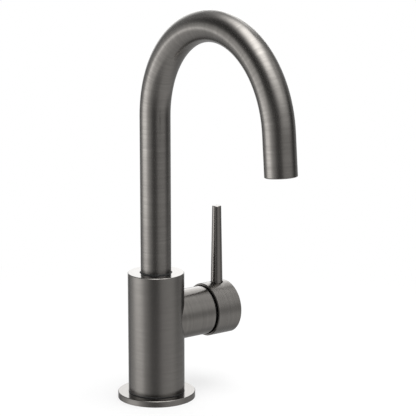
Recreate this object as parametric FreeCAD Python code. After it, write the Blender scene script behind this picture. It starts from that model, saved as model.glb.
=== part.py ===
import FreeCAD, Part
import math
import os

# Gooseneck bar faucet with one side lever. All sizes are in millimetres and degrees.
# The origin is the middle of the flange's underside, on the deck. +Z is up, the spout points to -Y and the
# handle's hub stands out to +X. Hub pieces are drawn along +Z and turned onto the hub by on_hub().

V = FreeCAD.Vector
ORIGIN = V(0, 0, 0)
UP = V(0, 0, 1)

# Clearances
running_gap = 0.05
seat_gap = 0.02
free_gap = 0.3

# Cartridge, measured along the hub from the body's axis
seat_offset = 9.5
cartridge_radius = 12.5
cartridge_wall = 1.2
cartridge_gap = 0.15
seal_standing = 0.4
seal_depth = 1.0
base_thickness = 3.6
base_step = 1.2
fixed_disc_thickness = 3.0
moving_disc_thickness = 3.2
moving_disc_radius = 9.2
mixing_pocket_radius = 4.6
mixing_pocket_depth = 1.8
carrier_plate = 1.3
carrier_height = 5.8
carrier_pin_inset = 2.4
rotor_seal_section = 1.5
rotor_flange = 4.3
rotor_neck_radius = 8.4
rotor_neck_length = 6.85
pivot_rise = 6.15
pin_radius = 1.5
housing_lip = 2.8
stem_width = 6.0
stem_height = 7.0
stem_ball_radius = 2.4
stem_neck_radius = 1.7
ball_rise = 3.75
flow_angle = 25.0
temperature_angle = 50.0
stop_lug_angle = 24.0
stop_lug_depth = 1.5

# Ports of the cartridge
inlet_port_circle = 6.1
inlet_port_angle = 37.5
inlet_port_radius = 2.1
inlet_port_span = 22.5
outlet_port_drop = 2.2
outlet_port_radius = 3.0
seal_width = 1.2
locating_pin_radius = 1.2
locating_pin_length = 2.0
locating_pin_spread = 8.5
locating_pin_drop = 5.5

# Hub, handle and lever
bonnet_thickness = 4.4
bonnet_thread_depth = 1.7
bonnet_bore_gap = 1.0
mouth_depth = 1.95
stub_wall = 2.8
stub_spigot_wall = 2.4
stub_edge = 0.35
cap_gap = 1.3
cap_overhang = 1.6
cap_rim = 1.25
cap_length = 20.0
cap_edge = 0.45
dome_inset = 0.6
dome_wall = 1.2
dome_spigot_wall = 1.2
lever_setback = 11.8
lever_height = 74.0
lever_base_radius = 4.2
lever_tip_radius = 3.18
lever_edge = 0.35
lever_recess = 0.45
lever_recess_depth = 1.2
lever_spigot_radius = 3.0
lever_spigot_length = 6.8
set_screw_radius = 2.5
set_screw_length = 7.5
set_screw_setback = 13.6
set_screw_key = 2.5
socket_depth_in_cap = 17.3

# Body, base and spout
flange_height = 4.3
flange_overhang = 7.4
flange_edge = 0.35
flange_seal_inset = 3.0
flange_seal_width = 3.0
flange_seal_depth = 2.2
hub_rise = 51.7
body_shoulder = 2.45
body_wall = 2.4
body_top_wall = 3.5
body_edge = 0.35
pocket_web = 1.85
socket_depth = 14.4
bush_flange = 1.0
bush_wall = 0.7
bush_flange_width = 2.0
spout_radius = 10.6
spout_wall = 1.1
column_length = 109.6
arch_radius = 66.9
arch_sweep = 175.0
leg_length = 27.6
tip_round = 0.7

# Spout collar in the core
collar_step = 0.42
collar_wall = 2.7
collar_spigot = 8.4
thrust_washer_thickness = 1.0
o_ring_section = 1.8
o_ring_spacing = 4.2
first_o_ring_height = 2.75
retaining_ring_thickness = 1.2
retaining_ring_width = 1.7
retaining_ring_opening = 40.0
retaining_ring_height = 10.95

# Aerator, measured up the leg from its open end
aerator_recess = 1.5
sleeve_recess = 0.8
sleeve_wall = 1.0
sleeve_length = 15.2
sleeve_shoulder = 1.5
aerator_washer_thickness = 1.5
aerator_washer_width = 2.1
aerator_wall = 1.2
aerator_ledge = 0.8
aerator_notch = 2.0
aerator_notch_count = 6
screen_thickness = 0.8
screen_hole_radius = 0.6
screen_hole_pitch = 2.5
grid_thickness = 1.5
grid_setback = 2.6
grid_cell = 1.5
grid_pitch = 2.1
pattern_rings = 2

# Waterways of the core
supply_thread_radius = 4.46
supply_thread_depth = 14.0
supply_offset = 6.6
supply_passage_radius = 2.4
supply_passage_inset = 4.5
outlet_passage_radius = 4.0
outlet_passage_offset = 3.0
core_foot_height = 8.0
core_waist_radius = 12.5
core_taper = 4.0
core_spigot_length = 14.3
core_spigot_wall = 2.9

# Fixing under the deck
deck_thickness = 30.0
shank_wall = 2.0
shank_ledge = 0.8
shank_length = 58.0
shank_edge = 1.0
clamp_gasket_thickness = 3.0
clamp_gasket_overhang = 0.5
clamp_washer_thickness = 2.0
clamp_washer_overhang = 1.0
nut_across_flats = 42.0
nut_thickness = 9.0
nut_edge = 1.5

# Stations along the hub
base_at = seat_offset + seal_standing
housing_at = base_at + base_thickness - base_step
fixed_disc_at = base_at + base_thickness
moving_disc_at = fixed_disc_at + fixed_disc_thickness + running_gap
carrier_at = moving_disc_at + moving_disc_thickness
ball_at = carrier_at + ball_rise
rotor_at = carrier_at + carrier_height + free_gap
pivot_at = rotor_at + pivot_rise
neck_at = rotor_at + rotor_flange
lip_at = neck_at + free_gap
bonnet_at = lip_at + housing_lip
bonnet_end = bonnet_at + bonnet_thickness
stub_end = bonnet_end + mouth_depth
cap_at = stub_end + cap_gap
cap_end = cap_at + cap_length
lever_at = cap_at + lever_setback
set_screw_at = cap_at + set_screw_setback

# Travel of the moving disc, which rests below the hub's axis by half of it
disc_travel = (pivot_at - ball_at) * math.sin(math.radians(flow_angle))
disc_rest = -disc_travel / 2

# Radii that follow from the cartridge, outwards
housing_bore = cartridge_radius - cartridge_wall
stub_bore = cartridge_radius + cartridge_gap
bonnet_radius = stub_bore + bonnet_thread_depth
stub_radius = bonnet_radius + seat_gap + stub_wall
stub_spigot_radius = stub_bore + stub_spigot_wall
cap_radius = stub_radius + cap_overhang
body_radius = stub_radius + body_shoulder
body_bore = body_radius - body_wall
core_radius = body_bore - free_gap
flange_radius = body_radius + flange_overhang
cap_hollow_radius = math.hypot(cap_at - pivot_at, cap_radius - cap_rim)
dome_radius = math.hypot(stub_end - pivot_at, stub_radius - dome_inset)

# The dome's hole lets the stem's corners by when the handle is tipped right out
stem_corner = math.hypot(stem_height, stem_width) / 2
stem_lean = math.radians(flow_angle) + math.asin(stem_corner / dome_radius)
dome_hole_radius = dome_radius * math.sin(stem_lean) + free_gap

# Heights, from the deck up
hub_height = flange_height + hub_rise
socket_floor = hub_height + stub_bore + pocket_web
core_top = socket_floor + socket_depth
plate_underside = core_top + bush_flange
body_top = plate_underside + body_top_wall
arch_height = body_top + column_length
collar_bottom = socket_floor + thrust_washer_thickness + running_gap
collar_top = core_top - free_gap

# Radii of the spout and its socket
spout_bore = spout_radius - spout_wall
collar_radius = spout_radius + collar_step
socket_radius = collar_radius + running_gap
retaining_groove_radius = socket_radius + 3 * free_gap
bush_bore = spout_radius + running_gap
bush_radius = bush_bore + bush_wall

# Radii of the fixing
core_spigot_radius = supply_offset + supply_thread_radius + core_spigot_wall
shank_bore = core_spigot_radius - shank_ledge
shank_radius = core_spigot_radius + seat_gap + shank_wall
nut_corner = nut_across_flats / math.sqrt(3)
clamp_washer_radius = nut_corner + clamp_washer_overhang
clamp_gasket_radius = clamp_washer_radius + clamp_gasket_overhang

# Sizes of the aerator, which is drawn with the spout's mouth at height 0 and its inside below it
sleeve_radius = spout_bore - seat_gap
sleeve_bore = sleeve_radius - sleeve_wall
sleeve_top = -sleeve_recess - sleeve_length
washer_at = sleeve_top + sleeve_shoulder
aerator_at = washer_at + aerator_washer_thickness
aerator_radius = sleeve_bore - seat_gap
aerator_bore = aerator_radius - aerator_wall
grid_at = -aerator_recess - grid_setback - grid_thickness


def turned(outline):
    """A solid of revolution about Z from a closed outline of (radius, height) points."""
    corners = [V(radius, 0, height) for radius, height in outline]
    face = Part.Face(Part.makePolygon(corners + corners[:1]))
    return face.revolve(ORIGIN, UP, 360)


def rod(radius, start, end):
    return Part.makeCylinder(radius, end - start, V(0, 0, start), UP)


def ring(inner, outer, start, end):
    return rod(outer, start, end).cut(rod(inner, start - 1, end + 1))


def sector(inner, outer, start, end, half_angle):
    """The part of a ring within this many degrees of +X."""
    wedge = Part.makeCylinder(outer, end - start, V(0, 0, start), UP, 2 * half_angle)
    return wedge.rotated(ORIGIN, UP, -half_angle).cut(rod(inner, start - 1, end + 1))


def block(width_x, width_y, start, end):
    return Part.makeBox(width_x, width_y, end - start, V(-width_x / 2, -width_y / 2, start))


def drilling(radius, start, end):
    """A round hole's core from one point to another."""
    return Part.makeCylinder(radius, (end - start).Length, start, end - start)


def torus_ring(section, outer, height):
    """An O-ring of a given section and outer radius."""
    return Part.makeTorus(outer - section / 2, section / 2, V(0, 0, height), UP)


def hexagon(across_flats, start, end):
    corner = across_flats / math.sqrt(3)
    angles = [math.radians(60 * side) for side in range(6)]
    points = [V(corner * math.cos(a), corner * math.sin(a), start) for a in angles]
    return Part.Face(Part.makePolygon(points + points[:1])).extrude(V(0, 0, end - start))


def around(shape, count):
    """Copies of a shape spread evenly about Z."""
    return [shape.rotated(ORIGIN, UP, 360 * turn / count) for turn in range(count)]


def hexagonal_places(pitch, rings):
    """Centres of a hexagonal pattern with this many rings about its middle one."""
    places = []
    for row in range(-rings, rings + 1):
        shift = row / 2
        for column in range(max(-rings, -rings - row), min(rings, rings - row) + 1):
            places.append(V((column + shift) * pitch, row * pitch * math.sqrt(3) / 2, 0))
    return places


def on_hub(shape):
    """Turns a piece drawn along Z onto the hub: its +Z goes to +X and its +X goes up."""
    placed = shape.copy()
    placed.transformShape(FreeCAD.Placement(V(0, 0, hub_height), FreeCAD.Rotation(V(1, 0, 1), 180)).Matrix)
    return placed


def arch_point(angle):
    """A point of the spout's centre line, this many degrees round the arch."""
    turn = math.radians(angle)
    return V(0, arch_radius * (math.cos(turn) - 1), arch_height + arch_radius * math.sin(turn))


def leg_direction():
    turn = math.radians(arch_sweep)
    return V(0, -math.sin(turn), math.cos(turn))


def tip_point():
    return arch_point(arch_sweep) + leg_direction() * leg_length


def on_tip(shape):
    """Turns a piece drawn along Z onto the leg: its +Z points out of the spout and its origin is on the tip."""
    placed = shape.copy()
    turn = FreeCAD.Rotation(V(1, 0, 0), arch_sweep)
    placed.transformShape(FreeCAD.Placement(tip_point(), turn).Matrix)
    return placed


# ---- base and fixing ----

def base_flange():
    hole = shank_radius + free_gap
    groove_outer = flange_radius - flange_seal_inset
    groove_inner = groove_outer - flange_seal_width
    return turned([
        (hole, 0),
        (groove_inner, 0),
        (groove_inner, flange_seal_depth),
        (groove_outer, flange_seal_depth),
        (groove_outer, 0),
        (flange_radius, 0),
        (flange_radius, flange_height - flange_edge),
        (flange_radius - flange_edge, flange_height),
        (hole, flange_height),
    ])


def deck_seal():
    outer = flange_radius - flange_seal_inset - seat_gap
    inner = outer - flange_seal_width + 2 * seat_gap
    return ring(inner, outer, 0, flange_seal_depth - seat_gap)


def mounting_shank():
    top = flange_height - seat_gap
    ledge = flange_height - core_spigot_length - seat_gap
    inner = core_spigot_radius + seat_gap
    return turned([
        (shank_bore, -shank_length),
        (shank_radius - shank_edge, -shank_length),
        (shank_radius, -shank_length + shank_edge),
        (shank_radius, top),
        (inner, top),
        (inner, ledge),
        (shank_bore, ledge),
    ])


def clamp_gasket():
    bottom = -deck_thickness - clamp_gasket_thickness
    return ring(shank_radius + free_gap, clamp_gasket_radius, bottom, -deck_thickness)


def clamp_washer():
    top = -deck_thickness - clamp_gasket_thickness
    return ring(shank_radius + free_gap, clamp_washer_radius, top - clamp_washer_thickness, top)


def mounting_nut():
    top = -deck_thickness - clamp_gasket_thickness - clamp_washer_thickness
    bottom = top - nut_thickness
    bevelled = turned([
        (0, bottom),
        (nut_corner - 2 * nut_edge, bottom),
        (nut_corner, bottom + nut_edge),
        (nut_corner, top - nut_edge),
        (nut_corner - 2 * nut_edge, top),
        (0, top),
    ])
    nut = hexagon(nut_across_flats, bottom, top).common(bevelled)
    return nut.cut(rod(shank_radius + seat_gap, bottom - 1, top + 1))


# ---- body ----

def body_tube():
    mouth = bush_radius + seat_gap
    shell = turned([
        (body_bore, flange_height),
        (body_radius - body_edge, flange_height),
        (body_radius, flange_height + body_edge),
        (body_radius, body_top - body_edge),
        (body_radius - body_edge, body_top),
        (mouth, body_top),
        (mouth, plate_underside),
        (body_bore, plate_underside),
    ])
    return shell.cut(on_hub(rod(stub_spigot_radius + seat_gap, 0, body_radius + 1)))


def valve_stub():
    """The tube brazed to the body, its end coped to the body's round and its spigot through the wall."""
    barrel = turned([
        (0, 0),
        (stub_radius, 0),
        (stub_radius, stub_end - stub_edge),
        (stub_radius - stub_edge, stub_end),
        (0, stub_end),
    ])
    outside = on_hub(barrel).cut(rod(body_radius + seat_gap, 0, body_top))
    spigot = on_hub(rod(stub_spigot_radius, 0, stub_end - mouth_depth)).cut(rod(body_bore, 0, body_top))
    stub = outside.fuse(spigot)
    stub = stub.cut(on_hub(rod(stub_bore, 0, stub_end + 1)))
    return stub.cut(on_hub(rod(bonnet_radius + seat_gap, bonnet_at, stub_end + 1))).removeSplitter()


def core_blank():
    foot_top = flange_height + core_foot_height
    block_bottom = hub_height - stub_bore - core_taper
    return turned([
        (0, flange_height - core_spigot_length),
        (core_spigot_radius, flange_height - core_spigot_length),
        (core_spigot_radius, flange_height),
        (body_bore - running_gap, flange_height),
        (body_bore - running_gap, foot_top),
        (core_waist_radius, foot_top + core_taper),
        (core_waist_radius, block_bottom - core_taper),
        (core_radius, block_bottom),
        (core_radius, core_top - core_taper / 2),
        (core_radius - core_taper / 2, core_top),
        (0, core_top),
    ])


def spout_socket():
    """What is bored out of the core for the spout's collar and its retaining ring."""
    middle = collar_bottom + retaining_ring_height
    half = retaining_ring_thickness / 2 + free_gap
    bore = rod(socket_radius, socket_floor, core_top + 1)
    return bore.fuse(rod(retaining_groove_radius, middle - half, middle + half))


def inlet_port_place(side):
    turn = math.radians(side * inlet_port_angle)
    return V(inlet_port_circle * math.cos(turn), inlet_port_circle * math.sin(turn), 0)


def supply_passage(side):
    """One supply's way up: thread below, a drilled passage, and a port in the cartridge's seat."""
    bottom = flange_height - core_spigot_length
    socket_top = bottom + supply_thread_depth
    place = V(0, side * supply_offset, 0)
    inlet = inlet_port_place(-side)
    thread = Part.makeCylinder(supply_thread_radius, supply_thread_depth, place + V(0, 0, bottom), UP)
    top = V(seat_offset - supply_passage_inset, place.y, hub_height + inlet.x)
    way = drilling(supply_passage_radius, place + V(0, 0, socket_top - 1), top)
    port = Part.makeCylinder(inlet_port_radius, supply_passage_inset + 1, inlet + V(0, 0, top.x), UP)
    return [thread, way, on_hub(port)]


def outlet_passage():
    start = V(-outlet_port_drop, 0, -outlet_passage_offset)
    port = Part.makeCylinder(outlet_port_radius, seat_offset + outlet_passage_offset + 1, start, UP)
    foot = V(-outlet_passage_offset, 0, hub_height - outlet_port_drop - outlet_port_radius)
    rise = Part.makeCylinder(outlet_passage_radius, socket_floor - foot.z + 1, foot, UP)
    return [on_hub(port), rise]


def locating_place(side):
    return V(-locating_pin_drop, side * locating_pin_spread, 0)


def locating_hole(side):
    start = locating_place(side) + V(0, 0, seat_offset - locating_pin_length - free_gap)
    return on_hub(Part.makeCylinder(locating_pin_radius + free_gap / 3, locating_pin_length + 1, start, UP))


def valve_core():
    core = core_blank().cut(on_hub(rod(stub_bore, seat_offset, body_radius)))
    core = core.cut(spout_socket())
    for side in (-1, 1):
        for passage in supply_passage(side):
            core = core.cut(passage)
        core = core.cut(locating_hole(side))
    for passage in outlet_passage():
        core = core.cut(passage)
    return core


# ---- spout ----

def spout_bush():
    return turned([
        (bush_bore, core_top),
        (bush_radius + bush_flange_width, core_top),
        (bush_radius + bush_flange_width, plate_underside),
        (bush_radius, plate_underside),
        (bush_radius, body_top - body_edge),
        (bush_bore, body_top - body_edge),
    ])


def spout_thrust_washer():
    outer = collar_radius - running_gap
    inner = outlet_passage_offset + outlet_passage_radius + free_gap
    return ring(inner, outer, socket_floor, socket_floor + thrust_washer_thickness)


def spout_line():
    """The centre line from the collar's shoulder to the tip: column, arch and leg."""
    start = V(0, 0, collar_top + seat_gap)
    column = Part.LineSegment(start, arch_point(0)).toShape()
    arch = Part.Arc(arch_point(0), arch_point(arch_sweep / 2), arch_point(arch_sweep)).toShape()
    leg = Part.LineSegment(arch_point(arch_sweep), tip_point()).toShape()
    return Part.Wire([column, arch, leg])


def swept(radius):
    start = V(0, 0, collar_top + seat_gap)
    profile = Part.Wire([Part.makeCircle(radius, start, UP)])
    return spout_line().makePipeShell([profile], True, False)


def spout_tube():
    tube = swept(spout_radius).cut(swept(spout_bore))
    tip = tip_point()
    outlet_edges = [
        edge for edge in tube.Edges
        if edge.BoundBox.Center.sub(tip).Length < tip_round and edge.BoundBox.XLength > 2 * spout_bore + spout_wall
    ]
    return tube.makeFillet(tip_round, outlet_edges)


def o_ring_heights():
    first = collar_bottom + first_o_ring_height
    return [first, first + o_ring_spacing]


def spout_collar():
    """The collar brazed into the tube's lower end, with grooves for its two O-rings and its retaining ring."""
    bore = spout_bore - collar_wall
    spigot = spout_bore - seat_gap
    collar = turned([
        (bore, collar_bottom),
        (collar_radius - free_gap, collar_bottom),
        (collar_radius, collar_bottom + free_gap),
        (collar_radius, collar_top),
        (spigot, collar_top),
        (spigot, collar_top + collar_spigot),
        (bore, collar_top + collar_spigot),
    ])
    groove_floor = socket_radius - running_gap - o_ring_section - seat_gap
    half = o_ring_section / 2 + free_gap / 2
    for height in o_ring_heights():
        collar = collar.cut(ring(groove_floor, collar_radius + 1, height - half, height + half))
    middle = collar_bottom + retaining_ring_height
    half = retaining_ring_thickness / 2 + running_gap
    floor = retaining_groove_radius - free_gap - retaining_ring_width - seat_gap
    return collar.cut(ring(floor, collar_radius + 1, middle - half, middle + half))


def spout_o_rings():
    outer = socket_radius - running_gap
    return Part.makeCompound([torus_ring(o_ring_section, outer, height) for height in o_ring_heights()])


def spout_retaining_ring():
    middle = collar_bottom + retaining_ring_height
    half = retaining_ring_thickness / 2
    outer = retaining_groove_radius - free_gap
    inner = outer - retaining_ring_width
    closed = 360 - retaining_ring_opening
    sector = Part.makeCylinder(outer, 2 * half, V(0, 0, middle - half), UP, closed)
    return sector.cut(rod(inner, middle - half - 1, middle + half + 1))


# ---- aerator ----

def aerator_sleeve():
    ledge = sleeve_bore - aerator_washer_width / 2
    return on_tip(turned([
        (ledge, sleeve_top),
        (sleeve_radius, sleeve_top),
        (sleeve_radius, -sleeve_recess),
        (sleeve_bore, -sleeve_recess),
        (sleeve_bore, washer_at),
        (ledge, washer_at),
    ]))


def aerator_washer():
    outer = sleeve_bore - seat_gap
    return on_tip(ring(outer - aerator_washer_width, outer, washer_at, aerator_at))


def aerator_housing():
    """A cup with a ledge for each of its two screens and a notched rim for the key."""
    ledge = aerator_bore - aerator_ledge
    cup = turned([
        (ledge, aerator_at + screen_thickness),
        (aerator_bore, aerator_at + screen_thickness),
        (aerator_bore, aerator_at),
        (aerator_radius, aerator_at),
        (aerator_radius, -aerator_recess),
        (aerator_bore, -aerator_recess),
        (aerator_bore, grid_at),
        (ledge, grid_at),
    ])
    notch = Part.makeBox(aerator_radius, aerator_notch, aerator_notch, V(0, -aerator_notch / 2, -aerator_recess))
    notch.translate(V(aerator_bore - seat_gap, 0, -aerator_notch / 2))
    for cutter in around(notch, aerator_notch_count):
        cup = cup.cut(cutter)
    return on_tip(cup)


def aerator_screen():
    start = aerator_at
    end = start + screen_thickness - seat_gap
    disc = rod(aerator_bore - seat_gap, start, end)
    holes = [
        Part.makeCylinder(screen_hole_radius, screen_thickness + 2, place + V(0, 0, start - 1), UP)
        for place in hexagonal_places(screen_hole_pitch, pattern_rings)
    ]
    return on_tip(disc.cut(holes))


def aerator_grid():
    """The outlet's honeycomb."""
    start = grid_at + seat_gap
    disc = rod(aerator_bore - seat_gap, start, start + grid_thickness)
    cell = hexagon(grid_cell, start - 1, start + grid_thickness + 1)
    cell.rotate(ORIGIN, UP, 30)
    cells = [cell.translated(place) for place in hexagonal_places(grid_pitch, pattern_rings + 1)
             if place.Length < aerator_bore - grid_cell]
    return on_tip(disc.cut(cells))


# ---- cartridge, drawn along Z with +X up, turned onto the hub ----

def outlet_port_place():
    return V(-outlet_port_drop, 0, 0)


def cartridge_seals():
    start = seat_offset
    end = base_at + seal_depth - seat_gap
    rings = []
    for side in (-1, 1):
        inner = inlet_port_radius + seal_width / 6
        rings.append(ring(inner, inner + seal_width, start, end).translated(inlet_port_place(side)))
    inner = outlet_port_radius + seal_width / 6
    rings.append(ring(inner, inner + seal_width, start, end).translated(outlet_port_place()))
    return on_hub(Part.makeCompound(rings))


def cartridge_base():
    radius = cartridge_radius - running_gap
    base = rod(radius, base_at, housing_at).fuse(rod(housing_bore - seat_gap, housing_at, fixed_disc_at))
    ports = [(inlet_port_place(side), inlet_port_radius) for side in (-1, 1)]
    ports.append((outlet_port_place(), outlet_port_radius))
    for place, port in ports:
        inner = port + seal_width / 6 - seat_gap
        groove = ring(inner, inner + seal_width + 2 * seat_gap, base_at - 1, base_at + seal_depth)
        base = base.cut(groove.translated(place))
        base = base.cut(rod(port, base_at - 1, fixed_disc_at + 1).translated(place))
    for side in (-1, 1):
        pin = rod(locating_pin_radius, seat_offset - locating_pin_length, base_at + 1)
        base = base.fuse(pin.translated(locating_place(side)))
    return on_hub(base.removeSplitter())


def kidney_port(side, start, end):
    """A curved slot round the hub's axis, with round ends."""
    outer = inlet_port_circle + inlet_port_radius / 2
    inner = inlet_port_circle - inlet_port_radius / 2
    slot = sector(inner, outer, start, end, inlet_port_span).rotated(ORIGIN, UP, side * inlet_port_angle)
    for turn in (-inlet_port_span, inlet_port_span):
        angle = math.radians(side * inlet_port_angle + turn)
        place = V(inlet_port_circle * math.cos(angle), inlet_port_circle * math.sin(angle), 0)
        slot = slot.fuse(rod(inlet_port_radius / 2, start, end).translated(place))
    return slot


def fixed_disc():
    """The ceramic disc that stays still, with two curved inlets, a round outlet and two notches for its keys."""
    radius = housing_bore - running_gap
    end = fixed_disc_at + fixed_disc_thickness
    disc = rod(radius, fixed_disc_at, end)
    for side in (-1, 1):
        disc = disc.cut(kidney_port(side, fixed_disc_at - 1, end + 1))
        notch = rod(locating_pin_radius, fixed_disc_at - 1, end + 1)
        disc = disc.cut(notch.translated(V(0, side * radius, 0)))
    outlet = rod(outlet_port_radius, fixed_disc_at - 1, end + 1)
    return on_hub(disc.cut(outlet.translated(outlet_port_place())))


def moving_disc():
    """The ceramic disc that slides and turns, with the blind pocket that mixes hot and cold."""
    end = moving_disc_at + moving_disc_thickness
    disc = rod(moving_disc_radius, moving_disc_at, end)
    disc = disc.cut(rod(mixing_pocket_radius, moving_disc_at - 1, moving_disc_at + mixing_pocket_depth))
    for side in (-1, 1):
        hole = rod(locating_pin_radius + free_gap / 3, end - moving_disc_thickness / 2, end + 1)
        disc = disc.cut(hole.translated(V(0, side * (moving_disc_radius - carrier_pin_inset), 0)))
    return on_hub(disc.translated(V(disc_rest, 0, 0)))


def disc_carrier():
    """Drives the moving disc by two pins, and takes the stem's ball in a slot."""
    wall = stem_ball_radius
    plate = rod(moving_disc_radius, carrier_at, carrier_at + carrier_plate)
    for side in (-1, 1):
        pin = rod(locating_pin_radius, carrier_at - moving_disc_thickness / 2 + free_gap, carrier_at)
        plate = plate.fuse(pin.translated(V(0, side * (moving_disc_radius - carrier_pin_inset), 0)))
    plate.translate(V(disc_rest, 0, 0))
    slot = 2 * (stem_ball_radius + free_gap / 2)
    floor = ball_at - stem_ball_radius - free_gap
    boss = block(slot + 2 * wall, slot + 2 * wall, carrier_at, carrier_at + carrier_height)
    carrier = plate.fuse(boss).cut(block(slot, slot, floor, carrier_at + carrier_height + 1))
    return on_hub(carrier.removeSplitter())


def cartridge_housing():
    """A sleeve whose lip holds the rotor in; the recess in the lip stops the rotor's lug, hot and cold."""
    lip_bore = rotor_neck_radius + running_gap
    housing = turned([
        (housing_bore, housing_at),
        (cartridge_radius, housing_at),
        (cartridge_radius, bonnet_at),
        (lip_bore, bonnet_at),
        (lip_bore, lip_at),
        (housing_bore, lip_at),
    ])
    stop = temperature_angle + stop_lug_angle / 2 + math.degrees(free_gap / lip_bore)
    depth = rotor_neck_radius + stop_lug_depth + free_gap
    return on_hub(housing.cut(sector(lip_bore - 1, depth, lip_at - 1, bonnet_at + 1, stop)))


def stem_slot():
    """The stem's way through the rotor: its walls stop the handle shut and fully open."""
    width = stem_width + 2 * free_gap
    lean = math.radians(flow_angle)
    half = stem_height / 2
    end = pivot_at - pivot_rise + rotor_flange + rotor_neck_length
    reach = (end - pivot_at) * math.tan(lean) + half / math.cos(lean) + free_gap
    back = pivot_rise * math.tan(lean) + half / math.cos(lean) + free_gap
    shut = half + free_gap
    start = pivot_at - half * math.sin(lean)
    outer = Part.makeBox(reach + shut, width, end - start + 1, V(-reach, -width / 2, start))
    inner = Part.makeBox(back + shut, width, pivot_rise + 1, V(-shut, -width / 2, rotor_at - 1))
    round_middle = Part.makeCylinder(shut, width, V(0, -width / 2, pivot_at), V(0, 1, 0))
    return outer.fuse(inner).fuse(round_middle)


def rotor():
    neck_end = neck_at + rotor_neck_length
    flange = rod(housing_bore - free_gap, rotor_at, neck_at)
    lug_end = rotor_neck_radius + stop_lug_depth
    lug = sector(rotor_neck_radius - stop_lug_depth, lug_end, neck_at, bonnet_at - free_gap, stop_lug_angle / 2)
    turner = flange.fuse(rod(rotor_neck_radius, neck_at, neck_end)).fuse(lug)
    middle = rotor_at + rotor_flange / 2
    half = rotor_seal_section / 2 + running_gap
    floor = housing_bore - running_gap - rotor_seal_section - seat_gap
    turner = turner.cut(ring(floor, housing_bore, middle - half, middle + half))
    turner = turner.cut(stem_slot())
    hole = pin_radius + seat_gap
    length = 2 * rotor_neck_radius
    return on_hub(turner.cut(Part.makeCylinder(hole, length, V(0, -length / 2, pivot_at), V(0, 1, 0))))


def rotor_seal():
    return on_hub(torus_ring(rotor_seal_section, housing_bore - running_gap, rotor_at + rotor_flange / 2))


def pivot_pin():
    length = 2 * (rotor_neck_radius - 2 * free_gap)
    return on_hub(Part.makeCylinder(pin_radius, length, V(0, -length / 2, pivot_at), V(0, 1, 0)))


def lever_stem():
    """A flat stem on the pivot pin, with a ball at its inner end and a square outer end that carries the cap."""
    half = stem_height / 2
    end = cap_at + socket_depth_in_cap
    blade = block(stem_height, stem_width, pivot_at, end)
    blade = blade.fuse(Part.makeCylinder(half, stem_width, V(0, -stem_width / 2, pivot_at), V(0, 1, 0)))
    neck = rod(stem_neck_radius, ball_at, pivot_at)
    ball = Part.makeSphere(stem_ball_radius, V(0, 0, ball_at))
    stem = blade.fuse(neck).fuse(ball)
    hole = Part.makeCylinder(pin_radius + running_gap, stem_width + 2, V(0, -half - 1, pivot_at), V(0, 1, 0))
    return on_hub(stem.cut(hole).removeSplitter())


def bonnet_nut():
    bore = rotor_neck_radius + bonnet_bore_gap
    nut = ring(bore, bonnet_radius, bonnet_at, bonnet_end)
    notch = block(2 * bonnet_radius + 2, stem_ball_radius, bonnet_end - bonnet_thickness / 2, bonnet_end + 1)
    for cutter in (notch, notch.rotated(ORIGIN, UP, 90)):
        nut = nut.cut(cutter)
    return on_hub(nut)


def bonnet_dome():
    """A thin dome, round about the pivot, that the hollow cap tips over."""
    middle = V(0, 0, pivot_at)
    shell = Part.makeSphere(dome_radius, middle).cut(Part.makeSphere(dome_radius - dome_wall, middle))
    shell = shell.common(rod(dome_radius, stub_end, pivot_at + dome_radius))
    spigot = ring(bonnet_radius - dome_spigot_wall, bonnet_radius, bonnet_end, stub_end + dome_wall)
    seat = ring(bonnet_radius - dome_spigot_wall, stub_radius - dome_inset - dome_wall, stub_end, stub_end + dome_wall)
    dome = shell.fuse(spigot).fuse(seat)
    return on_hub(dome.cut(rod(dome_hole_radius, stub_end - mouth_depth - 1, cap_end)).removeSplitter())


# ---- handle ----

def lever_foot():
    """Height above the hub's axis at which the lever's shoulder sits in the cap."""
    return cap_radius - lever_recess_depth


def handle_cap():
    outside = turned([
        (0, cap_at),
        (cap_radius - cap_edge, cap_at),
        (cap_radius, cap_at + cap_edge),
        (cap_radius, cap_end - cap_edge),
        (cap_radius - cap_edge, cap_end),
        (0, cap_end),
    ])
    cap = outside.cut(Part.makeSphere(cap_hollow_radius, V(0, 0, pivot_at)))
    socket = block(stem_height + 2 * seat_gap, stem_width + 2 * seat_gap, pivot_at, cap_at + socket_depth_in_cap)
    cap = cap.cut(socket)
    foot = V(lever_foot(), 0, lever_at)
    recess = Part.makeCylinder(lever_base_radius + lever_recess, cap_radius, foot, V(1, 0, 0))
    hole = Part.makeCylinder(
        lever_spigot_radius + seat_gap, lever_spigot_length, foot - V(lever_spigot_length, 0, 0), V(1, 0, 0)
    )
    screw_hole = Part.makeCylinder(set_screw_radius, cap_radius, V(0, 0, set_screw_at), V(-1, 0, 0))
    return on_hub(cap.cut(recess).cut(hole).cut(screw_hole))


def lever_rod():
    foot = hub_height + lever_foot()
    top = hub_height + lever_height
    bottom = foot - lever_spigot_length
    lever = turned([
        (0, bottom),
        (lever_spigot_radius, bottom),
        (lever_spigot_radius, foot),
        (lever_base_radius - lever_edge, foot),
        (lever_base_radius, foot + lever_edge),
        (lever_tip_radius, top - lever_edge),
        (lever_tip_radius - lever_edge, top),
        (0, top),
    ])
    return lever.translated(V(lever_at, 0, 0))


def handle_set_screw():
    """A grub screw under the cap, its point on the stem and its hexagon socket outwards."""
    start = stem_height / 2 + seat_gap
    end = start + set_screw_length
    screw = turned([
        (0, start),
        (set_screw_radius / 2, start),
        (set_screw_radius - seat_gap, start + set_screw_radius / 2),
        (set_screw_radius - seat_gap, end),
        (0, end),
    ])
    screw = screw.cut(hexagon(set_screw_key, end - set_screw_key, end + 1))
    screw.rotate(ORIGIN, V(0, 1, 0), -90)
    return on_hub(screw.translated(V(0, 0, set_screw_at)))


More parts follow.
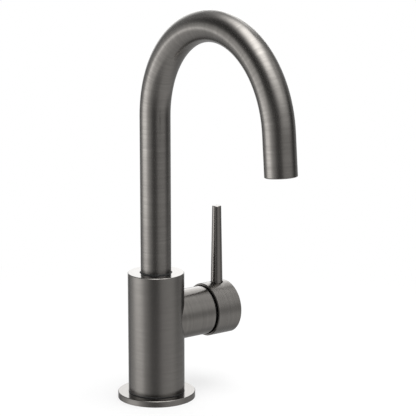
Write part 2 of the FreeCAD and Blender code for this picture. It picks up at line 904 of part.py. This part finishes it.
NODES = [
    base_flange, deck_seal, mounting_shank, clamp_gasket, clamp_washer, mounting_nut,
    body_tube, valve_stub, valve_core,
    spout_bush, spout_thrust_washer, spout_tube, spout_collar, spout_o_rings, spout_retaining_ring,
    aerator_sleeve, aerator_washer, aerator_housing, aerator_screen, aerator_grid,
    cartridge_seals, cartridge_base, fixed_disc, moving_disc, disc_carrier, cartridge_housing,
    rotor, rotor_seal, pivot_pin, lever_stem, bonnet_nut, bonnet_dome,
    handle_cap, lever_rod, handle_set_screw,
]


def main():
    os.makedirs("parts", exist_ok=True)
    for make in NODES:
        make().exportStep("parts/" + make.__name__ + ".step")
    travel = math.radians(flow_angle)
    print("body top", round(body_top, 3), "overall height", round(arch_height + arch_radius + spout_radius, 3))
    print("hub height", hub_height, "pivot", round(pivot_at, 3), "lever", round(lever_at, 3), "cap end", cap_end)
    print("tip", [round(value, 3) for value in tip_point()])
    print("disc travel", round(disc_travel, 4), "per radian", round(disc_travel / travel, 4))


main()
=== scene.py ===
import math

import bmesh
import bpy
from mathutils import Euler, Matrix, Vector


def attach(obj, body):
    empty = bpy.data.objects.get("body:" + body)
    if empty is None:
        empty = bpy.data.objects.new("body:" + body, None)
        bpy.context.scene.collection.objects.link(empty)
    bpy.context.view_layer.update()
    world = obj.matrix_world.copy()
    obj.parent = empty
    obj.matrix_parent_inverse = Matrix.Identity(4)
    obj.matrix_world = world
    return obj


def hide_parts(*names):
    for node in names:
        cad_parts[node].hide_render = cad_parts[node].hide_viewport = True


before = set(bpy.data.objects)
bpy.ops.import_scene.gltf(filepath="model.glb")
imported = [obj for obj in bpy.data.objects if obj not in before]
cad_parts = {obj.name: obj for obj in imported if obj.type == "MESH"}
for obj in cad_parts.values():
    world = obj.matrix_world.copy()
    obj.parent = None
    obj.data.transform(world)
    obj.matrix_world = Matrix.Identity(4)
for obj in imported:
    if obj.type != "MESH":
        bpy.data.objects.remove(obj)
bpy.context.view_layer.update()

MM = 0.001
UP = Vector((0, 0, 1))
ACROSS = Vector((1, 0, 0))

# Where the main forms are, in metres, in the frame of the solids
hub_height = 56.0 * MM
lever_at = 52.7 * MM
arch_radius = 66.9 * MM
arch_height = 199.0 * MM
arch_sweep = math.radians(175)

# Sizes of the pieces made here, in millimetres, as the solids have them
flange_height = 4.3
body_radius = 19.62
body_top = 89.4
core_top = 84.9
plate_underside = 85.9
bush_bore = 10.65
bush_radius = 11.35
bush_flange_radius = 13.35
# The black lip on the spout's bush is painted shade: a dark sheet in the gap at the spout's foot, where only
# shade would be
shade_lip_radius = 10.85
shade_lip_height = 0.7
shade_lip_slope = 0.35
shade_lip_round = 0.15
# The black ring at the body's foot is painted shade: a dark sheet in the seam between the body and its
# flange, where only shade would be
foot_shade_ring_height = 0.65
foot_shade_ring_inset = 0.3
foot_shade_ring_overhang = 0.06
foot_shade_ring_round = 0.2
shank_radius = 15.98
shank_bore = 13.16
shank_socket_radius = 13.98
shank_length = 58.0
shank_top = 4.28
shank_ledge_height = -10.02
shank_chamfer = 0.6
thread_top = -2.0
thread_pitch = 1.5
thread_depth = 0.92
thread_sunk = 0.15
thread_start = 0.9
thread_bare_ends = 1.2

# Shares of the pitch that the thread's ridge takes at its foot and at its crest
thread_foot_share = 0.92
thread_crest_share = 0.12

# How finely round forms are cut
turned_steps = 128
shank_steps = 96
thread_steps_per_turn = 32
floor_steps = 96
tent_fineness = 4
sharp_edge = math.radians(35)
on_ring_within = 1e-6

# Camera, from a least-squares fit to the photo's outlines
camera_place = (-0.7085, -1.0032, 0.3945)
camera_heading = math.radians(36.912)
camera_dip = math.radians(11.945)
camera_lens = 157.95
sensor_width = 36.0
nearest_seen = 0.05
furthest_seen = 50.0

# Lamps and floor, in metres. Turns are told from the camera's side of the object, to the right, in degrees
object_middle = Vector((0, -60 * MM, 130 * MM))
overhead_forward = 0.26
overhead_right = 0.29
overhead_height = 1.5
overhead_depth = 1.40
overhead_width = 1.12
overhead_light = 5.7
side_lamp_turn = -77
side_lamp_distance = 0.9
side_lamp_width = 0.9
side_lamp_span = (-0.12, 0.20)
side_lamp_light = 5.2
back_lamp_turn = 183
back_lamp_distance = 1.1
back_lamp_width = 1.19
back_lamp_span = (-0.02, 0.82)
back_lamp_light = 2.2
lamp_share_on_matt = 0.45
room_light = 0.6
floor_hole = 17.5 * MM
floor_inner_ring = 0.1
floor_reach = 2.0
floor_grey = 0.7
floor_whiteness = 0.65
whitening_starts = 0.06
whitening_ends = 0.4

# The tent that the metal mirrors, with soft screens on it. Each has its turns, told as for the lamps, its
# rises from level, its brightness against white and the softness of its edge. Angles and softness are in
# degrees, and those further down hang in front. Most of these numbers, and the ceiling's, weren't chosen by
# hand: another program fitted them to the tones of the photo by least squares. The first wall's span and
# softness, the sixth wall's brightness and the first four cards were set one by one
tent_radius = 1.6
tent_tone = 1.0
walls = [
    ((14, 100), (-13, 35), 1.32, 4.0),
    ((-179, 179), (-90, -13.4), 0.88, 1.6),
    ((23.0, 106.5), (-18.1, 7.9), 0.69, 3.7),
    ((-1.1, 71.8), (29.5, 75.9), 2.68, 3.8),
    ((116.7, 194.0), (-72.7, 87.9), 0.43, 7.2),
    ((159.1, 222.0), (2.4, 28.2), 2.68, 1.5),
    ((-153.0, -130.7), (-63.7, 50.1), 0.0, 7.2),
    ((-124.6, -7.1), (13.7, 81.6), 0.12, 3.7),
    ((-30.8, 19.9), (-33.9, 43.8), 0.15, 6.8),
    ((85.1, 121.4), (-24.8, 31.9), 0.0, 6.5),
    ((-95.5, -54.8), (-43.6, 21.5), 1.83, 3.5),
    ((-106.1, -67.7), (-10.1, -3.7), 5.3, 2.2),
]
cards = [
    ((70.0, 90.0), (24.0, 42.0), 1.2, 3.0),
    ((84.0, 125.0), (41.0, 52.0), 1.25, 3.0),
    ((167.0, 179.0), (24.0, 40.0), 2.9, 1.6),
    ((150.0, 171.0), (37.0, 46.5), 2.8, 1.8),
    ((-56.3, 6.3), (-54.3, -32.4), 0.41, 5.0),
    ((-167.7, -97.1), (-74.9, -35.4), 0.57, 10.7),
    ((130.5, 150.4), (53.7, 64.6), 0.26, 0.4),
    ((56.9, 128.3), (-34.9, -20.7), 1.04, 5.0),
    ((-115.4, -66.9), (-47.3, -26.9), 0.92, 5.1),
]

# The bright ceiling of the tent, as shares of its height over the object's middle
ceiling_ahead = (-0.497, 0.538)
ceiling_across = (-0.225, 0.421)
ceiling_softness = 0.117
ceiling_level = 6.9
ceiling_least_height = 0.05

# The brush's lines: how many of each kind to the metre, how much each kind counts, and how much they wander
broad_lines = 260.0
broad_share = 0.2
middling_lines = 720.0
middling_share = 0.5
fine_lines = 1900.0
fine_share = 0.3
line_wander = 45.0
brush_stretch = 0.2
quarter_turn = 0.25
level_from = 0.97

# The mottle of moulded, lapped and machined stuff
mottle_size = 0.6 * MM
mottle_spread = 0.04
mottle_depth = 0.03 * MM
mottle_strength = 0.1

dark_steel = (0.160, 0.152, 0.143)
yellow_brass = (0.72, 0.5, 0.24)


# ---- shader building ----

def connect(tree, value, socket):
    if isinstance(value, bpy.types.NodeSocket):
        tree.links.new(value, socket)
    else:
        socket.default_value = value


def shader_node(tree, kind, inputs, **settings):
    made = tree.nodes.new(kind)
    for name, value in settings.items():
        setattr(made, name, value)
    for name, value in inputs.items():
        connect(tree, value, made.inputs[name])
    return made


def maths(tree, operation, *values):
    made = tree.nodes.new("ShaderNodeMath")
    made.operation = operation
    for place, value in enumerate(values):
        connect(tree, value, made.inputs[place])
    return made.outputs[0]


def vectors(tree, operation, *values):
    """A vector sum, product or the like; dot products and lengths come out as a number."""
    made = tree.nodes.new("ShaderNodeVectorMath")
    made.operation = operation
    for place, value in enumerate(values):
        connect(tree, value, made.inputs[place])
    return made.outputs["Value" if operation in ("DOT_PRODUCT", "LENGTH") else "Vector"]


def scaled(tree, vector, factor):
    made = tree.nodes.new("ShaderNodeVectorMath")
    made.operation = "SCALE"
    connect(tree, vector, made.inputs[0])
    connect(tree, factor, made.inputs["Scale"])
    return made.outputs[0]


def vector_of(tree, x, y, z):
    return shader_node(tree, "ShaderNodeCombineXYZ", {"X": x, "Y": y, "Z": z}).outputs[0]


def between(tree, share, low, high):
    """A number that runs from low to high as share runs from 0 to 1."""
    return shader_node(
        tree, "ShaderNodeMapRange", {"Value": share, "To Min": low, "To Max": high}
    ).outputs["Result"]


def share_past(tree, value, start, softness):
    """0 before start and 1 past it, with a soft edge."""
    climb = maths(tree, "DIVIDE", maths(tree, "SUBTRACT", value, start), 2 * softness)
    return maths(tree, "MULTIPLY_ADD", maths(tree, "TANH", climb), 0.5, 0.5)


def share_between(tree, value, low, high, softness):
    """1 between low and high and 0 outside, with soft edges."""
    return maths(
        tree, "MULTIPLY", share_past(tree, value, low, softness),
        share_past(tree, maths(tree, "MULTIPLY", value, -1.0), -high, softness),
    )


def laid_over(tree, below, level, share):
    """A tone with another laid over it, where share says."""
    return maths(tree, "MULTIPLY_ADD", share, maths(tree, "SUBTRACT", level, below), below)


def noise(tree, place, detail):
    return shader_node(
        tree, "ShaderNodeTexNoise", {"Vector": place, "Scale": 1.0, "Detail": detail}
    ).outputs["Fac"]


def object_place(tree):
    return tree.nodes.new("ShaderNodeTexCoord").outputs["Object"]


def tinted(tree, colour, share, spread):
    """A colour made a little darker or lighter by share."""
    level = between(tree, share, 1 - spread, 1 + spread)
    return scaled(tree, colour, level)


def new_material(name):
    material = bpy.data.materials.new(name)
    material.use_nodes = True
    material.node_tree.nodes.clear()
    return material, material.node_tree


def finish_material(tree, surface):
    shader_node(tree, "ShaderNodeOutputMaterial", {"Surface": surface.outputs[0]})


# ---- where the brush runs ----

def round_an_axis(tree, centre, axis):
    """Height along a straight axis plus distance from it, and the direction round it."""
    offset = vectors(tree, "SUBTRACT", object_place(tree), centre)
    height = vectors(tree, "DOT_PRODUCT", offset, axis)
    foot = scaled(tree, axis, height)
    radius = vectors(tree, "LENGTH", vectors(tree, "SUBTRACT", offset, foot))
    along = maths(tree, "ADD", height, radius)
    return along, vectors(tree, "CROSS_PRODUCT", axis, offset)


def round_body(tree):
    return round_an_axis(tree, (0, 0, 0), UP)


def round_hub(tree):
    return round_an_axis(tree, (0, 0, hub_height), ACROSS)


def round_lever(tree):
    return round_an_axis(tree, (lever_at, 0, 0), UP)


def round_the_spout(tree):
    """Length along the bent spout, and the direction round its tube."""
    centre = Vector((0, -arch_radius, arch_height))
    offset = vectors(tree, "SUBTRACT", object_place(tree), centre)
    middle = arch_sweep / 2
    outwards = vectors(tree, "DOT_PRODUCT", offset, (0, math.cos(middle), math.sin(middle)))
    onwards = vectors(tree, "DOT_PRODUCT", offset, (0, -math.sin(middle), math.cos(middle)))
    turn = maths(tree, "ARCTAN2", onwards, outwards)
    turn = maths(tree, "MAXIMUM", turn, -middle)
    turn = maths(tree, "MINIMUM", turn, middle)
    turn = maths(tree, "ADD", turn, middle)
    cosine = maths(tree, "COSINE", turn)
    sine = maths(tree, "SINE", turn)
    out = vector_of(tree, 0.0, cosine, sine)
    ahead = vector_of(tree, 0.0, maths(tree, "MULTIPLY", sine, -1.0), cosine)
    from_line = vectors(tree, "SUBTRACT", offset, scaled(tree, out, arch_radius))
    past_arch = vectors(tree, "DOT_PRODUCT", from_line, ahead)
    along = maths(tree, "MULTIPLY_ADD", turn, arch_radius, past_arch)
    return along, vectors(tree, "CROSS_PRODUCT", ahead, from_line)


# ---- materials ----

def brush_lines(tree, along):
    """Broad, middling and fine lines across the way along, as one share from 0 to 1."""
    wander = scaled(tree, object_place(tree), line_wander)

    def lines(per_metre, detail):
        fast = vector_of(tree, 0.0, 0.0, maths(tree, "MULTIPLY", along, per_metre))
        return noise(tree, vectors(tree, "ADD", wander, fast), detail)

    broad = maths(tree, "MULTIPLY", lines(broad_lines, 1.0), broad_share)
    coarse = maths(tree, "MULTIPLY_ADD", lines(middling_lines, 1.0), middling_share, broad)
    return maths(tree, "MULTIPLY_ADD", lines(fine_lines, 2.0), fine_share, coarse)


def brushed_metal(name, colour, where, roughness=0.25, streaks=0.3, unevenness=0.06, level_gloss=0.0):
    """Metal brushed round a form: lines that run the way the brush went, each a little lighter or rougher.

    Faces that lie level are smoother by level_gloss, as faced off on a lathe.
    """
    material, tree = new_material(name)
    along, way_round = where(tree)
    lines = brush_lines(tree, along)
    world_way = shader_node(
        tree, "ShaderNodeVectorTransform", {"Vector": way_round},
        vector_type="VECTOR", convert_from="OBJECT", convert_to="WORLD",
    ).outputs[0]
    brushed = between(tree, lines, roughness + unevenness, roughness - unevenness)
    upright = vectors(tree, "DOT_PRODUCT", tree.nodes.new("ShaderNodeTexCoord").outputs["Normal"], UP)
    level_face = maths(tree, "MULTIPLY", maths(tree, "GREATER_THAN", upright, level_from), level_gloss)
    surface = shader_node(
        tree, "ShaderNodeBsdfPrincipled",
        {
            "Base Color": tinted(tree, colour, lines, streaks),
            "Metallic": 1.0,
            "Roughness": maths(tree, "SUBTRACT", brushed, level_face),
            "Anisotropic": brush_stretch,
            "Anisotropic Rotation": quarter_turn,
            "Tangent": world_way,
        },
    )
    finish_material(tree, surface)
    return material


def smooth_solid(name, colour, roughness, metallic=0.0):
    """Moulded, lapped or machined stuff: an even colour with a fine mottle in tone, gloss and height."""
    material, tree = new_material(name)
    mottled = noise(tree, scaled(tree, object_place(tree), 1 / mottle_size), 3.0)
    height = shader_node(
        tree, "ShaderNodeBump", {"Height": mottled, "Strength": mottle_strength, "Distance": mottle_depth}
    ).outputs[0]
    surface = shader_node(
        tree, "ShaderNodeBsdfPrincipled",
        {
            "Base Color": tinted(tree, colour, mottled, mottle_spread),
            "Metallic": metallic,
            "Roughness": between(tree, mottled, roughness - mottle_spread, roughness + mottle_spread),
            "Normal": height,
        },
    )
    finish_material(tree, surface)
    return material


body_metal = brushed_metal("dark_steel_body", dark_steel, round_body, streaks=0.18, level_gloss=0.1)
stub_metal = brushed_metal("dark_steel_stub", dark_steel, round_hub, roughness=0.19, unevenness=0.03)
cap_metal = brushed_metal("dark_steel_cap", dark_steel, round_hub, roughness=0.27)
lever_metal = brushed_metal("dark_steel_lever", dark_steel, round_lever, streaks=0.1, unevenness=0.02)
spout_metal = brushed_metal("dark_steel_spout", dark_steel, round_the_spout, streaks=0.36)
brass = brushed_metal("turned_brass", yellow_brass, round_body, roughness=0.3)
hub_brass = brushed_metal("turned_brass_hub", yellow_brass, round_hub, roughness=0.3)
plain_steel = smooth_solid("plain_steel", (0.56, 0.56, 0.55), 0.32, metallic=1.0)
rubber = smooth_solid("black_rubber", (0.02, 0.02, 0.02), 0.7)
black_plastic = smooth_solid("black_plastic", (0.012, 0.012, 0.012), 0.5)
white_plastic = smooth_solid("white_plastic", (0.75, 0.75, 0.72), 0.45)
grey_plastic = smooth_solid("grey_plastic", (0.1, 0.105, 0.11), 0.45)
ceramic = smooth_solid("lapped_ceramic", (0.78, 0.76, 0.7), 0.2)

finishes = {
    "base_flange": body_metal,
    "body_tube": body_metal,
    "valve_stub": stub_metal,
    "handle_cap": cap_metal,
    "spout_tube": spout_metal,
    "lever_rod": lever_metal,
    "valve_core": brass,
    "mounting_shank": brass,
    "mounting_nut": brass,
    "spout_collar": brass,
    "aerator_sleeve": brass,
    "bonnet_nut": hub_brass,
    "lever_stem": hub_brass,
    "clamp_washer": plain_steel,
    "spout_retaining_ring": plain_steel,
    "pivot_pin": plain_steel,
    "handle_set_screw": plain_steel,
    "deck_seal": rubber,
    "clamp_gasket": rubber,
    "spout_o_rings": rubber,
    "cartridge_seals": rubber,
    "rotor_seal": rubber,
    "aerator_washer": rubber,
    "spout_bush": black_plastic,
    "bonnet_dome": black_plastic,
    "spout_thrust_washer": white_plastic,
    "aerator_housing": white_plastic,
    "aerator_screen": white_plastic,
    "aerator_grid": grey_plastic,
    "cartridge_base": white_plastic,
    "cartridge_housing": white_plastic,
    "rotor": grey_plastic,
    "disc_carrier": grey_plastic,
    "fixed_disc": ceramic,
    "moving_disc": ceramic,
}

for name, material in finishes.items():
    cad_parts[name].data.materials[0] = material


# ---- pieces made here ----

def turned_form(outline, steps=turned_steps):
    """A closed outline of radii and heights, in millimetres, spun round the upright axis."""
    form = bmesh.new()
    corners = [form.verts.new((radius * MM, 0, height * MM)) for radius, height in outline]
    sides = [form.edges.new(pair) for pair in zip(corners, corners[1:] + corners[:1])]
    bmesh.ops.spin(
        form, geom=corners + sides, cent=(0, 0, 0), axis=UP,
        angle=2 * math.pi, steps=steps, use_merge=True, use_duplicate=False,
    )
    bmesh.ops.recalc_face_normals(form, faces=form.faces)
    return form


def round_off(form, radius, height, width, segments=4):
    """Rounds the edge that runs round at a radius and height, in millimetres."""
    def on_ring(corner):
        beside = abs(corner.co.xy.length - radius * MM)
        above = abs(corner.co.z - height * MM)
        return beside < on_ring_within and above < on_ring_within

    edges = [edge for edge in form.edges if all(on_ring(corner) for corner in edge.verts)]
    bmesh.ops.bevel(
        form, geom=edges, offset=width * MM, offset_type="OFFSET", segments=segments,
        profile=0.5, affect="EDGES", material=-1, clamp_overlap=True,
    )


def finished_object(name, form, material):
    """An object in the scene, from a form that is done."""
    data = bpy.data.meshes.new(name)
    form.to_mesh(data)
    form.free()
    data.materials.append(material)
    made = bpy.data.objects.new(name, data)
    bpy.context.scene.collection.objects.link(made)
    return made


def finished_piece(name, form, material, body):
    """Turns a form into a piece that rides on a body."""
    piece = finished_object(name, form, material)
    piece.data.shade_smooth()
    piece.data.set_sharp_from_angle(angle=sharp_edge)
    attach(piece, body)
    return piece


def bush_with_shade_lip():
    """The spout's bush, with a thin black lip that is painted shade: a dark sheet filling the gap at the
    spout's foot, where it shows as a dark line.
    """
    shade_lip_top = body_top + shade_lip_height
    form = turned_form([
        (bush_bore, core_top),
        (bush_flange_radius, core_top),
        (bush_flange_radius, plate_underside),
        (bush_radius, plate_underside),
        (bush_radius, body_top - shade_lip_slope),
        (shade_lip_radius, body_top),
        (shade_lip_radius, shade_lip_top),
        (bush_bore, shade_lip_top),
    ])
    round_off(form, shade_lip_radius, shade_lip_top, shade_lip_round)
    piece = finished_piece("spout_bush_with_shade_lip", form, black_plastic, "body")
    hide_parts("spout_bush")


def foot_shade_ring():
    """A thin black ring that is painted shade: a dark sheet in the seam between the body and its flange,
    where it shows as a dark line.
    """
    inner = body_radius - foot_shade_ring_inset
    outer = body_radius + foot_shade_ring_overhang
    top = flange_height + foot_shade_ring_height
    form = turned_form([
        (inner, flange_height),
        (outer, flange_height),
        (outer, top),
        (inner, top),
    ])
    round_off(form, outer, top, foot_shade_ring_round)
    finished_piece("body_foot_shade_ring", form, rubber, "body")


def wind_thread(form, root, bottom):
    """Winds the thread's ridge up a core of radius root, from just over the bottom."""
    half = thread_pitch / 2
    turns = (thread_top - bottom - thread_bare_ends - thread_pitch) / thread_pitch
    ridge = [
        (root - thread_sunk, -half * thread_foot_share),
        (shank_radius, -half * thread_crest_share),
        (shank_radius, half * thread_crest_share),
        (root - thread_sunk, half * thread_foot_share),
    ]
    start = bottom + thread_start + half
    corners = [form.verts.new((radius * MM, 0, (start + height) * MM)) for radius, height in ridge]
    steps = int(turns * thread_steps_per_turn)
    rise = turns * thread_pitch * MM / steps
    bmesh.ops.spin(
        form, geom=[form.faces.new(corners)], cent=(0, 0, 0), axis=UP, dvec=(0, 0, rise),
        angle=turns * 2 * math.pi, steps=steps, use_merge=False, use_duplicate=False,
    )
    bmesh.ops.recalc_face_normals(form, faces=form.faces)


def threaded_shank():
    """The shank with its thread cut as a ridge that winds up a smooth core."""
    root = shank_radius - thread_depth
    bottom = -shank_length
    form = turned_form([
        (shank_bore, bottom),
        (root - shank_chamfer, bottom),
        (root, bottom + shank_chamfer),
        (root, thread_top),
        (shank_radius, thread_top + thread_depth),
        (shank_radius, shank_top),
        (shank_socket_radius, shank_top),
        (shank_socket_radius, shank_ledge_height),
        (shank_bore, shank_ledge_height),
    ], shank_steps)
    wind_thread(form, root, bottom)
    piece = finished_piece("threaded_shank", form, brass, "body")
    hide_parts("mounting_shank")


# The black lip on the spout's bush is painted shade for the gap at the spout's foot
bush_with_shade_lip()
# The black ring at the body's foot is painted shade for the seam under the body
foot_shade_ring()
threaded_shank()


# ---- camera ----

def place_camera():
    made = bpy.data.cameras.new("camera")
    made.lens = camera_lens
    made.sensor_width = sensor_width
    made.clip_start = nearest_seen
    made.clip_end = furthest_seen
    holder = bpy.data.objects.new("camera", made)
    holder.location = camera_place
    holder.rotation_euler = (math.pi / 2 - camera_dip, 0, -camera_heading)
    bpy.context.scene.collection.objects.link(holder)
    bpy.context.scene.camera = holder


# ---- lamps ----

to_camera = Vector((-math.sin(camera_heading), -math.cos(camera_heading), 0))
to_right = Vector((math.cos(camera_heading), -math.sin(camera_heading), 0))


def towards(turn):
    """A level direction from the object, turned to the right from the camera's."""
    angle = math.radians(turn)
    return to_camera * math.cos(angle) + to_right * math.sin(angle)


def softbox(name, place, facing, width, height, light):
    """A lamp with an even face, as bright as light times white, that the metal doesn't mirror."""
    lamp = bpy.data.lights.new(name, "AREA")
    lamp.shape = "RECTANGLE"
    lamp.size = width
    lamp.size_y = height
    lamp.energy = light * math.pi * width * height
    lamp.diffuse_factor = lamp_share_on_matt
    holder = bpy.data.objects.new(name, lamp)
    holder.location = place
    holder.rotation_mode = "QUATERNION"
    holder.rotation_quaternion = facing
    holder.visible_camera = False
    holder.visible_glossy = False
    bpy.context.scene.collection.objects.link(holder)


def overhead_lamp():
    place = object_middle + to_camera * overhead_forward + to_right * overhead_right
    place.z = overhead_height
    straight_down = Euler((0, 0, -camera_heading)).to_quaternion()
    softbox("overhead_softbox", place, straight_down, overhead_width, overhead_depth, overhead_light)


def standing_lamp(name, turn, distance, width, span, light):
    """A lamp that faces the object from the side, its face between two heights."""
    place = object_middle + towards(turn) * distance
    place.z = (span[0] + span[1]) / 2
    aim = Vector((object_middle.x, object_middle.y, place.z))
    softbox(name, place, (aim - place).to_track_quat("-Z", "Y"), width, span[1] - span[0], light)


# ---- what the metal mirrors ----

def studio_cloth():
    """The tones that the metal sees round it: walls, a bright ceiling and cards in front, with soft edges."""
    material, tree = new_material("studio_cloth")
    offset = vectors(tree, "SUBTRACT", object_place(tree), object_middle)
    forward = vectors(tree, "DOT_PRODUCT", offset, to_camera)
    sideways = vectors(tree, "DOT_PRODUCT", offset, to_right)
    height = vectors(tree, "DOT_PRODUCT", offset, UP)
    level_distance = maths(tree, "SQRT", maths(
        tree, "MULTIPLY_ADD", forward, forward, maths(tree, "MULTIPLY", sideways, sideways)
    ))
    turn = maths(tree, "DEGREES", maths(tree, "ARCTAN2", sideways, forward))
    rise = maths(tree, "DEGREES", maths(tree, "ARCTAN2", height, level_distance))

    def hung(tone, screens):
        for turns, rises, level, softness in screens:
            middle = (turns[0] + turns[1]) / 2
            half_width = (turns[1] - turns[0]) / 2
            off_middle = maths(tree, "WRAP", maths(tree, "SUBTRACT", turn, middle), 180.0, -180.0)
            inwards = maths(tree, "MULTIPLY", maths(tree, "ABSOLUTE", off_middle), -1.0)
            beside = share_past(tree, inwards, -half_width, softness)
            share = maths(tree, "MULTIPLY", beside, share_between(tree, rise, *rises, softness))
            tone = laid_over(tree, tone, level, share)
        return tone

    def overhead(distance, span):
        over = maths(tree, "DIVIDE", distance, maths(tree, "MAXIMUM", height, ceiling_least_height))
        return share_between(tree, over, *span, ceiling_softness)

    ceiling = maths(tree, "MULTIPLY", overhead(forward, ceiling_ahead), overhead(sideways, ceiling_across))
    tone = laid_over(tree, hung(tent_tone, walls), ceiling_level, ceiling)
    finish_material(tree, shader_node(tree, "ShaderNodeEmission", {"Strength": hung(tone, cards)}))
    material.cycles.emission_sampling = "NONE"
    return material


def studio_tent():
    """A tent round the object, seen only in its metal."""
    form = bmesh.new()
    bmesh.ops.create_icosphere(
        form, subdivisions=tent_fineness, radius=tent_radius, matrix=Matrix.Translation(object_middle)
    )
    tent = finished_object("studio_tent", form, studio_cloth())
    tent.visible_camera = False
    tent.visible_diffuse = False
    tent.visible_transmission = False
    tent.visible_shadow = False


# ---- room and floor ----

def seen_directly(tree):
    """1 for what the camera sees, itself or in metal and glass."""
    path = tree.nodes.new("ShaderNodeLightPath")
    seen = maths(tree, "MAXIMUM", path.outputs["Is Camera Ray"], path.outputs["Is Glossy Ray"])
    return maths(tree, "MAXIMUM", seen, path.outputs["Is Transmission Ray"])


def white_room():
    world = bpy.data.worlds.new("white_room")
    world.use_nodes = True
    tree = world.node_tree
    tree.nodes.clear()
    level = between(tree, seen_directly(tree), room_light, 1.0)
    light = shader_node(tree, "ShaderNodeBackground", {"Color": (1, 1, 1, 1), "Strength": level})
    shader_node(tree, "ShaderNodeOutputWorld", {"Surface": light.outputs[0]})
    bpy.context.scene.world = world


def floor_paint():
    """Grey paint that keeps the object's shadow, whitened for the camera and more so further out."""
    material, tree = new_material("pale_floor")
    distance = vectors(tree, "LENGTH", object_place(tree))
    far = shader_node(
        tree, "ShaderNodeMapRange",
        {"Value": distance, "From Min": whitening_starts, "From Max": whitening_ends},
        interpolation_type="SMOOTHSTEP",
    ).outputs["Result"]
    paint = shader_node(
        tree, "ShaderNodeBsdfDiffuse", {"Color": (floor_grey, floor_grey, floor_grey, 1)}
    )
    white = shader_node(tree, "ShaderNodeEmission", {"Color": (1, 1, 1, 1), "Strength": 1.0})
    share = maths(tree, "MULTIPLY", between(tree, far, floor_whiteness, 1.0), seen_directly(tree))
    mixed = shader_node(
        tree, "ShaderNodeMixShader", {"Fac": share, 1: paint.outputs[0], 2: white.outputs[0]}
    )
    finish_material(tree, mixed)
    return material


def pale_floor():
    """A round floor with the hole that the shank passes through."""
    form = bmesh.new()
    rings = [form.verts.new((radius, 0, 0)) for radius in (floor_hole, floor_inner_ring, floor_reach)]
    edges = [form.edges.new(pair) for pair in zip(rings, rings[1:])]
    bmesh.ops.spin(
        form, geom=rings + edges, cent=(0, 0, 0), axis=UP,
        angle=2 * math.pi, steps=floor_steps, use_merge=True, use_duplicate=False,
    )
    bmesh.ops.recalc_face_normals(form, faces=form.faces)
    floor = finished_object("floor", form, floor_paint())
    floor.visible_glossy = False


place_camera()
overhead_lamp()
standing_lamp(
    "side_softbox", side_lamp_turn, side_lamp_distance, side_lamp_width, side_lamp_span, side_lamp_light
)
standing_lamp(
    "back_softbox", back_lamp_turn, back_lamp_distance, back_lamp_width, back_lamp_span, back_lamp_light
)
studio_tent()
white_room()
pale_floor()

bpy.context.scene.view_settings.view_transform = "Standard"
